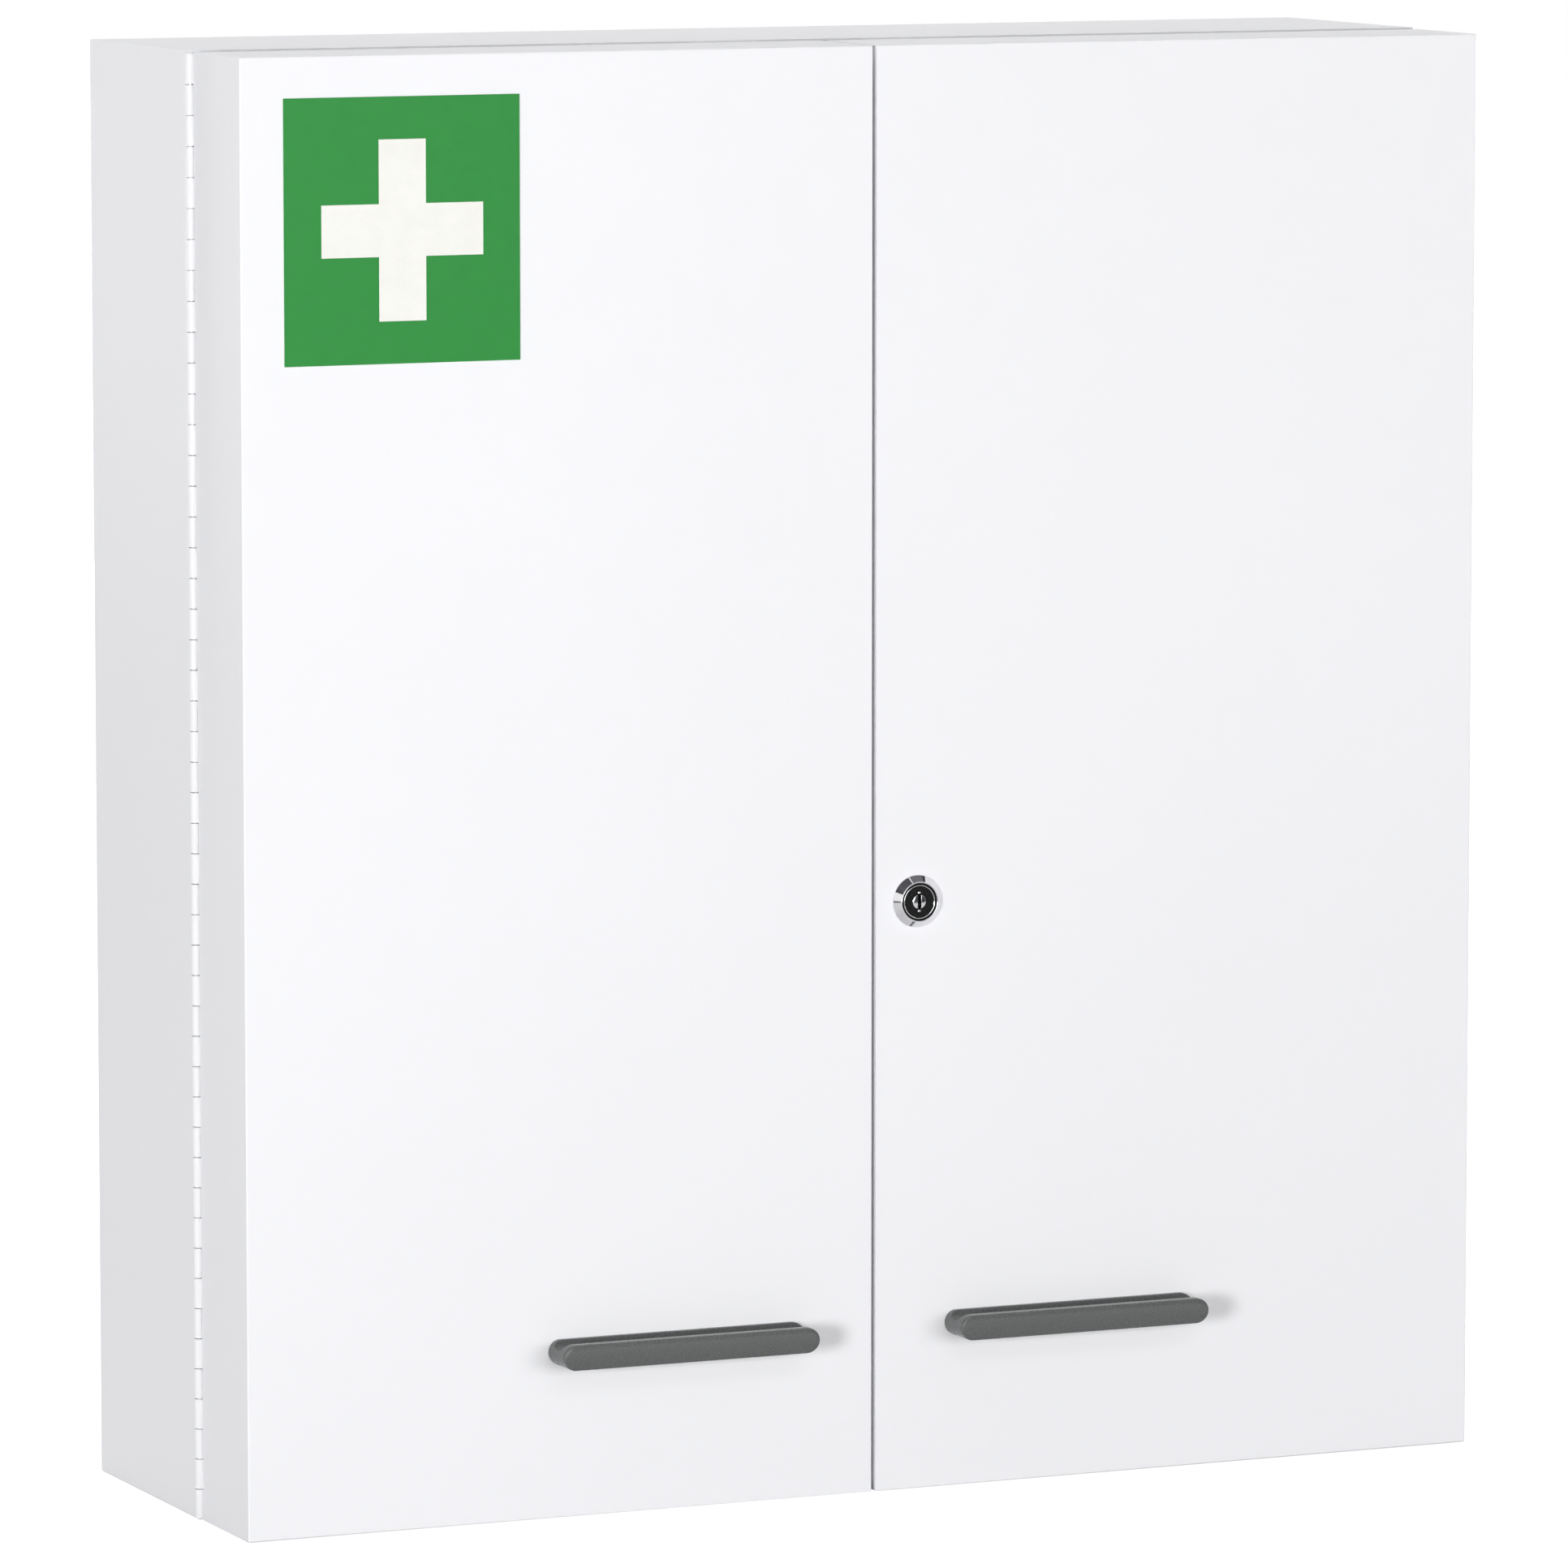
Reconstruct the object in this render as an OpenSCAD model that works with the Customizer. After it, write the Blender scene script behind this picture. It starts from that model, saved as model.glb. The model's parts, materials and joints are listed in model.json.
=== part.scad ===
// Lockable wall cabinet of folded sheet steel with two box-shaped doors on full-height piano hinges.
// Millimetres. X runs to the right, Y from the front to the wall, Z up.
// The origin is the centre of the four wall-fixing holes, on the wall plane.

/* [Cabinet] */
// Overall width of the body and of the two doors together
cabinet_w = 600; // [500:10:800]
// Overall height of the body
cabinet_h = 650; // [600:10:900]
// Depth from the wall to the front of the doors
cabinet_d = 190; // [170:5:240]
// Thickness of the sheet steel
sheet_t = 1; // [0.8:0.1:1.2]
// Width of the return flanges along the top, the bottom and the doors' meeting edges
flange_w = 14; // [13:1:20]
// Width of the return flanges that carry the hinges
hinge_flange_w = 17; // [16:1:24]
// Width of the rear return flanges that carry the back panel
rear_flange_w = 12; // [8:1:20]
// Distance from the body's outer edges to the back panel's edges
back_inset = 1.5; // [1:0.5:4]

/* [Wall fixing] */
// Diameter of the wall-fixing holes
wall_hole_d = 8; // [5:0.5:10]
// Distance from the cabinet's sides to the wall-fixing holes
wall_hole_inset_x = 50; // [30:5:80]
// Distance from the cabinet's top and bottom to the wall-fixing holes
wall_hole_inset_z = 45; // [30:5:80]

/* [Doors] */
// Depth of each box-shaped door
door_d = 57; // [52:1:65]
// Gap between the two closed doors
meeting_gap = 2; // [1:0.5:4]
// Gap by which the doors end inside the body's top and bottom
door_end_gap = 0.5; // [0.3:0.1:2]

/* [Hinges] */
// Outer diameter of the hinge knuckles
knuckle_d = 5; // [4.6:0.2:6]
// Diameter of the hinge pins
hinge_pin_d = 2.4; // [2:0.1:2.8]
// Thickness of the hinge leaves
leaf_t = 1; // [0.8:0.1:1.2]
// Width of a hinge leaf, from the pin's axis
leaf_w = 14; // [10:1:16]
// Height of one knuckle with the gap to the next
knuckle_pitch = 13.5; // [10:0.5:20]
// Gap between one knuckle and the next
knuckle_gap = 0.3; // [0.2:0.1:0.6]
// Gap between the knuckles and the flanges in front of and behind them
knuckle_clearance = 0.3; // [0.2:0.1:0.6]
// Gap between a leaf's edge and the other leaf's knuckles
leaf_clearance = 0.5; // [0.3:0.1:1]

/* [Body shelves] */
// Depth of the slotted strips, measured from the side wall
strip_d = 6; // [5:0.5:8]
// Width of the slotted strips
strip_w = 16; // [15:1:20]
// Thickness of the strips' sheet
strip_t = 1; // [0.8:0.1:1.5]
// Distance from the strips' ends to the cabinet's top and bottom walls
strip_end_gap = 10; // [2:1:20]
// Distance from the body's front and back to the middle of the strips
strip_inset = 27; // [24:1:34]
// Height from one slot to the next
slot_pitch = 20; // [15:1:32]
// Width of the slots
slot_w = 12; // [11:0.5:14]
// Height of the slots
slot_h = 3; // [2.6:0.2:5]
// Height of the shelves' folded front and rear edges
shelf_edge_h = 18; // [12:1:25]
// Depth of the hem at the foot of the shelves' folded edges
shelf_hem = 8; // [5:1:12]
// Gap between the shelves and what lies in front of, behind and beside them
shelf_gap = 1.5; // [1:0.5:3]
// Thickness of the shelf clips' steel
clip_t = 1.5; // [1:0.1:2]
// Width of the shelf clips
clip_w = 10; // [8:0.5:10.5]
// Length of the clips' ledges that carry a shelf
clip_ledge = 14; // [10:1:20]
// Length of the clips' legs on both sides of the slotted strip
clip_leg = 8; // [5:1:10]
// Gap between the clips' hooks and the back of the slotted strip
clip_play = 0.3; // [0.2:0.1:0.5]

/* [Door shelves] */
// Depth of the door shelves
door_shelf_d = 48; // [40:1:50]
// Height of the lips that keep things on the door shelves
door_shelf_lip = 20; // [10:1:35]
// Height of the tabs that fix the door shelves to the door's walls
door_shelf_tab = 12; // [8:1:20]
// Diameter of the retaining rails
rail_d = 4; // [3:0.5:6]
// Height of the retaining rails' axes above the shelf under them
rail_h = 55; // [45:1:80]
// Distance from the door's rear plane to the rails' axes
rail_inset = 8; // [5:1:12]

/* [Catches] */
// Length of the magnetic catches
catch_l = 40; // [34:1:50]
// Height of the magnetic catches
catch_h = 10; // [9:0.5:11]
// Thickness of the magnetic catches
catch_t = 4; // [3.5:0.1:4.2]
// Distance from the cabinet's middle to the middle of a catch
catch_x = 44; // [36:1:80]
// Distance between a catch's screws
catch_screw_pitch = 30; // [26:1:32]
// Diameter of the catch screws
catch_screw_d = 3; // [2.5:0.1:3.5]
// Diameter of the catch screws' heads
catch_head_d = 5.5; // [5:0.1:6]
// Length of the catch screws
catch_screw_l = 9; // [7:0.5:12]
// Length of the magnets
magnet_l = 18; // [12:1:19]
// Height of the magnets
magnet_h = 6; // [4:0.5:7]
// Thickness of the magnets
magnet_t = 3; // [2:0.1:3.2]
// Length of the strike plates on the doors
strike_l = 30; // [20:1:38]
// Thickness of the strike plates
strike_t = 1; // [0.8:0.1:1.2]
// Diameter of the rubber buffers
buffer_d = 8; // [6:0.5:10]
// Gap between the rubber buffers and the closed doors
buffer_gap = 0.3; // [0.2:0.1:0.5]

/* [Handles] */
// Length of the handles
handle_l = 123; // [110:1:150]
// Height of the handles
handle_h = 11.4; // [10.4:0.2:14]
// Distance that the handles stand out from the doors
handle_d = 20; // [18:0.5:24]
// Distance from the doors' meeting edges to the handles
handle_from_edge = 34; // [20:1:60]
// Height of the handles' axes above the cabinet's bottom
handle_z = 75; // [50:1:120]
// Distance between the handles' screws
handle_screw_pitch = 96; // [80:1:100]
// Diameter of the handles' screws
handle_screw_d = 3.5; // [3:0.1:3.7]
// Length of the handles' screws
handle_screw_l = 14; // [10:1:16]
// Diameter of the handle screws' heads
handle_head_d = 8; // [7:0.5:10]
// Thickness of the handle screws' heads
handle_head_t = 2.6; // [2:0.2:3]
// Radius of the groove along the handles' top
groove_r = 7; // [6:0.5:8]
// Depth of the groove along the handles' top
groove_depth = 3.4; // [2:0.2:3.6]
// Distance from the door to the middle of the top groove
groove_from_door = 8.4; // [7.5:0.1:9]
// Radius of the half-round notch along the handles' underside
notch_r = 1.8; // [1:0.1:2]
// Distance from the door to the middle of the notch
notch_from_door = 6.5; // [5:0.5:9]
// Distance from the handles' front to the fine line round them
line_from_front = 1.5; // [1:0.1:3]
// Width and depth of the fine line round the handles
line_w = 0.4; // [0.2:0.1:0.6]

/* [Sign] */
// Width of the sign
sign_w = 110; // [90:1:150]
// Height of the sign
sign_h = 116; // [90:1:150]
// Thickness of the sign
sign_t = 0.5; // [0.3:0.1:1]
// Distance from the left door's outer edge to the sign
sign_inset_x = 20; // [10:1:60]
// Distance from the left door's top edge to the sign
sign_inset_z = 18; // [10:1:60]
// Width of the cross
cross_w = 75.5; // [60:0.5:85]
// Height of the cross
cross_h = 79; // [60:0.5:85]
// Width of the cross's upright
cross_upright_w = 22; // [15:0.5:30]
// Height of the cross's arms
cross_arm_h = 23; // [15:0.5:30]

/* [Lock] */
// Distance from the right door's meeting edge to the lock's axis
lock_from_edge = 20; // [18:0.5:26]
// Height of the lock's axis above the cabinet's bottom
lock_z_up = 267; // [200:1:330]
// Largest diameter of the lock's collar
collar_d = 23.5; // [22:0.5:26]
// Diameter of the collar's front edge
collar_front_d = 18; // [17.4:0.2:20]
// Height of the collar on the door
collar_h = 3.5; // [2.5:0.1:5]
// Diameter of the recess in the collar's front
recess_d = 17; // [16.4:0.2:17.2]
// Depth of the recess in the collar's front
recess_h = 1.2; // [0.8:0.1:1.6]
// Diameter of the lock's barrel
barrel_d = 18.8; // [18:0.1:20]
// Gap round the barrel in the door and in the nut
barrel_clearance = 0.1; // [0.05:0.05:0.3]
// Length of the barrel behind the door's front
barrel_l = 20; // [16:0.5:24]
// Width of the lock's nut across its flats
nut_af = 24; // [22:0.5:28]
// Thickness of the lock's nut
nut_t = 4; // [3:0.5:6]
// Diameter of the plug's head
plug_head_d = 15.4; // [15:0.1:15.8]
// Length of the plug's head
plug_head_l = 7.2; // [6:0.1:9]
// Diameter of the plug behind its head
plug_d = 13.4; // [12:0.1:14]
// Distance from the collar's front to the plug's front
plug_setback = 0.3; // [0.2:0.1:0.6]
// Gap between the plug's shoulders and the housing
plug_end_play = 0.3; // [0.2:0.1:0.5]
// Outer diameter of the plug's black face ring
face_d = 14.4; // [13:0.1:14.6]
// Thickness of the plug's black face ring
face_t = 0.9; // [0.6:0.1:1.5]
// Distance from the plug's front to the front of the black face ring
face_setback = 0.3; // [0.1:0.1:0.5]
// Diameter of the plug's bright core
core_d = 6.6; // [6:0.1:8]
// Height of the keyway
keyway_h = 9.4; // [8:0.1:10]
// Width of the keyway
keyway_w = 1.8; // [1.2:0.1:2.5]
// Depth of the keyway
keyway_depth = 15; // [8:0.5:18]
// Side of the square tail that turns the cam
tail_w = 7; // [6:0.1:8]

/* [Cam] */
// Thickness of the cam
cam_t = 2; // [1.5:0.1:2.5]
// Width of the cam
cam_w = 12; // [10:0.5:14]
// Diameter of the cam's round head
cam_head_d = 17; // [16.4:0.2:20]
// Distance from the lock's axis to the cam's tip
cam_reach = 38; // [36:0.5:42]
// Depth of the hook's notch in the cam
hook_depth = 5; // [4:0.5:6]
// Gap in the notch on each side of the left door's wall
hook_clearance = 1.2; // [1:0.1:2]
// Height by which the left door's wall stands in the notch
hook_grip = 3; // [2:0.5:3.5]
// Width of the cam slots in the doors' meeting walls
cam_slot_w = 6; // [5:0.5:8]
// Gap between the cam and the ends of its slots
cam_slot_clearance = 2; // [1:0.5:4]
// Gap between the hanging cam and the door shelf under it
cam_shelf_gap = 12; // [8:1:20]
// Diameter of the cam screw
cam_screw_d = 4; // [3:0.1:4.2]
// Diameter of the cam screw's head
cam_head_screw_d = 9; // [8:0.5:11]
// Thickness of the cam screw's head
cam_screw_head_t = 2; // [1.5:0.1:3]
// Length of the cam screw under its head
cam_screw_l = 6; // [4:0.5:6.5]

/* [Hidden] */
// Radial clearance of a pin or plug that turns in its bore
running_clearance = 0.05;
// Radial clearance of a screw in its hole
screw_clearance = 0.1;
// Distance by which a cutting body runs past what it cuts
past = 1;

// Halves of the overall sizes
half_w = cabinet_w / 2;
half_h = cabinet_h / 2;

// Planes from the wall to the front of the doors
hinge_gap = knuckle_d + 2 * knuckle_clearance;
body_d = cabinet_d - door_d - hinge_gap;
hinge_y = -body_d - hinge_gap / 2;
shell_rear_y = -sheet_t;
door_front_y = -cabinet_d;
door_rear_y = door_front_y + door_d;

// The doors, drawn for the right-hand one
meeting_x = meeting_gap / 2;
door_w = half_w - meeting_x;
door_h = cabinet_h - 2 * door_end_gap;
door_half_h = door_h / 2;
door_floor_z = -door_half_h + sheet_t;

// Hinges
hinge_n = 2 * floor((door_h - knuckle_gap) / knuckle_pitch / 2);
hinge_h = hinge_n * knuckle_pitch;
knuckle_h = knuckle_pitch - knuckle_gap;
leaf_edge = knuckle_d / 2 + leaf_clearance;

// Slotted strips and body shelves
strip_h = cabinet_h - 2 * (sheet_t + strip_end_gap);
strip_x = half_w - sheet_t - strip_d;
strip_front_y = -body_d + strip_inset;
strip_rear_y = -strip_inset;
slot_n = floor((strip_h - slot_pitch) / slot_pitch) + 1;
shelf_n = 3;
shelf_w = 2 * (strip_x - shelf_gap);
shelf_front_y = -body_d + sheet_t + shelf_gap;
shelf_rear_y = shell_rear_y - sheet_t - shelf_gap;
shelf_d = shelf_rear_y - shelf_front_y;

// Lock and cam
lock_x = meeting_x + lock_from_edge;
lock_z = -half_h + lock_z_up;
barrel_rear_y = door_front_y + barrel_l;
plug_front_y = door_front_y - collar_h + plug_setback;
cam_front_y = barrel_rear_y + plug_end_play;
cam_mid_y = cam_front_y + cam_t / 2;
cam_rear_y = cam_front_y + cam_t;
slot_bottom_z = lock_z - cam_reach;
right_slot_top_z = lock_z + cam_w / 2 + cam_slot_clearance;
left_slot_top_z = lock_z + cam_w / 2 - hook_grip;

// Door shelves and rails, from the hanging cam's tip up and down
lower_shelf_z = lock_z - cam_reach - cam_shelf_gap - sheet_t;
upper_shelf_z = (lower_shelf_z + door_half_h - sheet_t) / 2;
door_shelf_zs = [lower_shelf_z, upper_shelf_z];
door_shelf_front_y = door_front_y + sheet_t;
door_shelf_rear_y = door_shelf_front_y + door_shelf_d;
rail_y = door_rear_y - rail_inset;
rail_floor_zs = [door_floor_z, lower_shelf_z + sheet_t, upper_shelf_z + sheet_t];

// Catches
flange_mid_z = half_h - flange_w / 2;
catch_front_y = -body_d - catch_t;
buffer_h = hinge_gap - buffer_gap;
buffer_x = meeting_x + flange_w / 2;

// Handles and sign
handle_x = meeting_x + handle_from_edge + handle_l / 2;
handle_mid_z = -half_h + handle_z;
handle_screw_drop = 0.8;
sign_mid_x = -half_w + sign_inset_x + sign_w / 2;
sign_mid_z = door_half_h - sign_inset_z - sign_h / 2;

// Smooth rounds
$fn = 96;

// ---- Helpers ----

// Repeats what is drawn for the right on the left
module on_left() {
    mirror([1, 0, 0]) children();
}

// Box given by its lowest and highest corners
module block(low, high) {
    translate(low) cube(high - low);
}

// Cylinder along Y from y_low to y_high with its axis at x, z
module rod_y(d, x, z, y_low, y_high) {
    translate([x, y_high, z]) rotate([90, 0, 0]) cylinder(d = d, h = y_high - y_low);
}

// Cylinder along X from x_low to x_high with its axis at y, z
module rod_x(d, y, z, x_low, x_high) {
    translate([x_low, y, z]) rotate([0, 90, 0]) cylinder(d = d, h = x_high - x_low);
}

// Flat outline in X and Z, given thickness from y_low to y_high
module plate_y(y_low, y_high) {
    translate([0, y_high, 0]) rotate([90, 0, 0]) linear_extrude(y_high - y_low) children();
}

// Bar with half-round ends, lying along X
module stadium(l, h) {
    square([l - h, h], center = true);
    for (s = [-1, 1]) translate([s * (l - h) / 2, 0]) circle(d = h);
}

// ---- Body ----

// Top, bottom and sides of the body, with return flanges at the front and the rear
module body_shell() {
    color("white") difference() {
        block([-half_w, -body_d, -half_h], [half_w, shell_rear_y, half_h]);
        block(
            [-half_w + sheet_t, -body_d + sheet_t, -half_h + sheet_t],
            [half_w - sheet_t, shell_rear_y - sheet_t, half_h - sheet_t]
        );
        block(
            [-half_w + hinge_flange_w, -body_d - past, -half_h + flange_w],
            [half_w - hinge_flange_w, -body_d + sheet_t + past, half_h - flange_w]
        );
        block(
            [-half_w + rear_flange_w, shell_rear_y - sheet_t - past, -half_h + rear_flange_w],
            [half_w - rear_flange_w, past, half_h - rear_flange_w]
        );
        for (s = [-1, 1]) catch_screw_holes(s, -body_d - past, -body_d + sheet_t + past);
    }
}

// Flat rear wall with the four wall-fixing holes
module back_panel() {
    color("white") difference() {
        block(
            [-half_w + back_inset, shell_rear_y, -half_h + back_inset],
            [half_w - back_inset, 0, half_h - back_inset]
        );
        for (sx = [-1, 1], sz = [-1, 1])
            rod_y(
                wall_hole_d,
                sx * (half_w - wall_hole_inset_x),
                sz * (half_h - wall_hole_inset_z),
                shell_rear_y - past,
                past
            );
    }
}

// Height of the lower edge of slot i in the strips
function slot_z(i) = -(slot_n - 1) / 2 * slot_pitch + i * slot_pitch - slot_h / 2;

// Number of the slot that carries shelf k
function shelf_slot(k) = round(k * (slot_n - 1) / (shelf_n + 1));

// Height of the underside of shelf k
function shelf_z(k) = slot_z(shelf_slot(k)) + clip_t;

// Channel with a row of slots on the right-hand side wall, y to its middle
module slotted_strip(y) {
    color("gainsboro") difference() {
        block([strip_x, y - strip_w / 2, -strip_h / 2], [half_w - sheet_t, y + strip_w / 2, strip_h / 2]);
        block(
            [strip_x + strip_t, y - strip_w / 2 + strip_t, -strip_h / 2 - past],
            [half_w, y + strip_w / 2 - strip_t, strip_h / 2 + past]
        );
        for (i = [0 : slot_n - 1])
            block(
                [strip_x - past, y - slot_w / 2, slot_z(i)],
                [strip_x + strip_t + past, y + slot_w / 2, slot_z(i) + slot_h]
            );
    }
}

// Folded shelf whose underside lies at height z
module body_shelf(z) {
    foot = sheet_t - shelf_edge_h;
    color("white")
        translate([-shelf_w / 2, shelf_front_y, z])
            rotate([90, 0, 90])
                linear_extrude(shelf_w) {
                    square([shelf_d, sheet_t]);
                    for (y = [0, shelf_d - sheet_t]) translate([y, foot]) square([sheet_t, shelf_edge_h]);
                    for (y = [0, shelf_d - shelf_hem]) translate([y, foot]) square([shelf_hem, sheet_t]);
                }
}

// Clip in the right-hand strip at y: a ledge, a hook behind the strip and a leg in front of it
module shelf_clip(y, z) {
    hook_x = strip_x + strip_t + clip_play;
    translate([0, y + clip_w / 2, z])
        rotate([90, 0, 0])
            linear_extrude(clip_w) {
                translate([strip_x - clip_ledge, 0]) square([hook_x + clip_t - strip_x + clip_ledge, clip_t]);
                translate([hook_x, -clip_leg]) square([clip_t, clip_leg + clip_t]);
                translate([strip_x - clip_t, -clip_leg]) square([clip_t, clip_leg + clip_t]);
            }
}

// The four clips of shelf k
module shelf_clips(k) {
    color("silver")
        for (y = [strip_front_y, strip_rear_y]) {
            shelf_clip(y, slot_z(shelf_slot(k)));
            on_left() shelf_clip(y, slot_z(shelf_slot(k)));
        }
}

// ---- Hinges ----

// Leaf of the right-hand hinge: side is 1 for the body's leaf and -1 for the door's
module hinge_leaf(side) {
    first = side > 0 ? 0 : 1;
    leaf_in = knuckle_d / 2 + knuckle_clearance - leaf_t;
    color("white")
        translate([half_w, hinge_y, -hinge_h / 2])
            mirror([0, side > 0 ? 0 : 1, 0])
                difference() {
                    union() {
                        block([-leaf_w, leaf_in, 0], [-leaf_edge, leaf_in + leaf_t, hinge_h]);
                        for (i = [first : 2 : hinge_n - 1]) translate([0, 0, i * knuckle_pitch + knuckle_gap / 2]) {
                            cylinder(d = knuckle_d, h = knuckle_h);
                            block([-leaf_edge - past, leaf_in, 0], [0, leaf_in + leaf_t, knuckle_h]);
                        }
                    }
                    translate([0, 0, -past])
                        cylinder(d = hinge_pin_d + 2 * running_clearance, h = hinge_h + 2 * past);
                }
}

// Pin of the right-hand hinge
module hinge_pin() {
    color("silver")
        translate([half_w, hinge_y, -hinge_h / 2]) cylinder(d = hinge_pin_d, h = hinge_h);
}

// ---- Catches and buffers ----

// Screw holes of one catch; s is the side
module catch_screw_holes(s, y_low, y_high) {
    for (t = [-1, 1])
        rod_y(
            catch_screw_d + 2 * screw_clearance,
            s * catch_x + t * catch_screw_pitch / 2,
            flange_mid_z,
            y_low,
            y_high
        );
}

// Housing of one magnetic catch on the body's top flange
module catch_housing(s) {
    sink = catch_screw_d / 2;
    color("whitesmoke") difference() {
        block(
            [s * catch_x - catch_l / 2, catch_front_y, flange_mid_z - catch_h / 2],
            [s * catch_x + catch_l / 2, -body_d, flange_mid_z + catch_h / 2]
        );
        block(
            [s * catch_x - magnet_l / 2, catch_front_y - past, flange_mid_z - magnet_h / 2],
            [s * catch_x + magnet_l / 2, catch_front_y + magnet_t, flange_mid_z + magnet_h / 2]
        );
        catch_screw_holes(s, catch_front_y - past, past);
        for (t = [-1, 1])
            rod_y(
                catch_head_d + 2 * screw_clearance,
                s * catch_x + t * catch_screw_pitch / 2,
                flange_mid_z,
                catch_front_y - past,
                catch_front_y + sink
            );
    }
}

// The magnets of both catches
module catch_magnets() {
    color("dimgray")
        for (s = [-1, 1])
            block(
                [s * catch_x - magnet_l / 2, catch_front_y, flange_mid_z - magnet_h / 2],
                [s * catch_x + magnet_l / 2, catch_front_y + magnet_t, flange_mid_z + magnet_h / 2]
            );
}

// The four screws of both catches
module catch_screws() {
    sink = catch_screw_d / 2;
    color("silver")
        for (s = [-1, 1], t = [-1, 1]) {
            x = s * catch_x + t * catch_screw_pitch / 2;
            rod_y(catch_head_d, x, flange_mid_z, catch_front_y, catch_front_y + sink);
            rod_y(catch_screw_d, x, flange_mid_z, catch_front_y, catch_front_y + catch_screw_l);
        }
}

// Steel plate on a door's top flange, in front of the catch
module strike_plate(s) {
    color("silver")
        block(
            [s * catch_x - strike_l / 2, door_rear_y, flange_mid_z - catch_h / 2],
            [s * catch_x + strike_l / 2, door_rear_y + strike_t, flange_mid_z + catch_h / 2]
        );
}

// Rubber buffers between the body's flanges and the doors' free corners
module rubber_buffers() {
    color("dimgray")
        for (sx = [-1, 1], sz = [-1, 1])
            rod_y(buffer_d, sx * buffer_x, sz * flange_mid_z, -body_d - buffer_h, -body_d);
}

// ---- Doors, drawn for the right-hand one ----

// Front of a door with its folded top, bottom and hinge walls
module door_pan() {
    difference() {
        block([meeting_x, door_front_y, -door_half_h], [half_w, door_rear_y - sheet_t, door_half_h]);
        block(
            [meeting_x - past, door_front_y + sheet_t, door_floor_z],
            [half_w - sheet_t, door_rear_y, -door_floor_z]
        );
        for (t = [-1, 1])
            rod_y(
                handle_screw_d + 2 * screw_clearance,
                handle_x + t * handle_screw_pitch / 2,
                handle_mid_z - handle_screw_drop,
                door_front_y - past,
                door_front_y + sheet_t + past
            );
    }
}

// Right door's front and walls, with the round hole for the lock
module door_pan_right() {
    color("white") difference() {
        door_pan();
        rod_y(
            barrel_d + 2 * barrel_clearance,
            lock_x,
            lock_z,
            door_front_y - past,
            door_front_y + sheet_t + past
        );
    }
}

// Wall along a door's meeting edge, with the slot for the cam
module door_edge(slot_top_z) {
    color("white") difference() {
        block(
            [meeting_x, door_front_y + sheet_t, door_floor_z],
            [meeting_x + sheet_t, door_rear_y - sheet_t, -door_floor_z]
        );
        block(
            [meeting_x - past, cam_mid_y - cam_slot_w / 2, slot_bottom_z],
            [meeting_x + sheet_t + past, cam_mid_y + cam_slot_w / 2, slot_top_z]
        );
    }
}

// Frame of return flanges round a door's open rear
module door_frame() {
    color("white") difference() {
        block([meeting_x, door_rear_y - sheet_t, -door_half_h], [half_w, door_rear_y, door_half_h]);
        block(
            [meeting_x + flange_w, door_rear_y - sheet_t - past, -door_half_h + flange_w],
            [half_w - hinge_flange_w, door_rear_y + past, door_half_h - flange_w]
        );
    }
}

// Folded shelf in a door: floor, upright lip at its rear and a tab down at each end
module door_shelf(z) {
    left_x = meeting_x + sheet_t;
    right_x = half_w - sheet_t;
    color("white") {
        block([left_x, door_shelf_front_y, z], [right_x, door_shelf_rear_y, z + sheet_t]);
        block(
            [left_x, door_shelf_rear_y - sheet_t, z],
            [right_x, door_shelf_rear_y, z + sheet_t + door_shelf_lip]
        );
        for (x = [left_x, right_x - sheet_t])
            block([x, door_shelf_front_y, z - door_shelf_tab], [x + sheet_t, door_shelf_rear_y, z]);
    }
}

// Three retaining rails across a door
module door_rails() {
    color("silver")
        for (z = rail_floor_zs)
            rod_x(rail_d, rail_y, z + rail_h, meeting_x + sheet_t, half_w - sheet_t);
}

// ---- Handles ----

// Moulded bar handle with a groove along its top and a notch along its underside
module handle() {
    front_y = door_front_y - handle_d;
    line_y = front_y + line_from_front;
    color("dimgray") difference() {
        translate([handle_x, 0, handle_mid_z])
            plate_y(front_y, door_front_y) stadium(handle_l, handle_h);
        rod_x(
            2 * groove_r,
            door_front_y - groove_from_door,
            handle_mid_z + handle_h / 2 - groove_depth + groove_r,
            handle_x - handle_l,
            handle_x + handle_l
        );
        rod_x(
            2 * notch_r,
            door_front_y - notch_from_door,
            handle_mid_z - handle_h / 2,
            handle_x - handle_l,
            handle_x + handle_l
        );
        translate([handle_x, 0, handle_mid_z])
            plate_y(line_y, line_y + line_w) difference() {
                stadium(handle_l + 2 * past, handle_h + 2 * past);
                stadium(handle_l - 2 * line_w, handle_h - 2 * line_w);
            }
        for (t = [-1, 1])
            rod_y(
                handle_screw_d + 2 * running_clearance,
                handle_x + t * handle_screw_pitch / 2,
                handle_mid_z - handle_screw_drop,
                door_front_y + sheet_t - handle_screw_l,
                door_front_y + past
            );
    }
}

// The two screws of a handle, with their heads inside the door
module handle_screws() {
    color("silver")
        for (t = [-1, 1]) {
            x = handle_x + t * handle_screw_pitch / 2;
            z = handle_mid_z - handle_screw_drop;
            inner_y = door_front_y + sheet_t;
            rod_y(handle_head_d, x, z, inner_y, inner_y + handle_head_t);
            rod_y(handle_screw_d, x, z, inner_y - handle_screw_l, inner_y);
        }
}

// ---- Sign ----

// Outline of the upright cross
module cross_outline() {
    square([cross_upright_w, cross_h], center = true);
    square([cross_w, cross_arm_h], center = true);
}

// Green field round the cross
module sign_field() {
    color("seagreen")
        translate([sign_mid_x, 0, sign_mid_z])
            plate_y(door_front_y - sign_t, door_front_y) difference() {
                square([sign_w, sign_h], center = true);
                cross_outline();
            }
}

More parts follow.
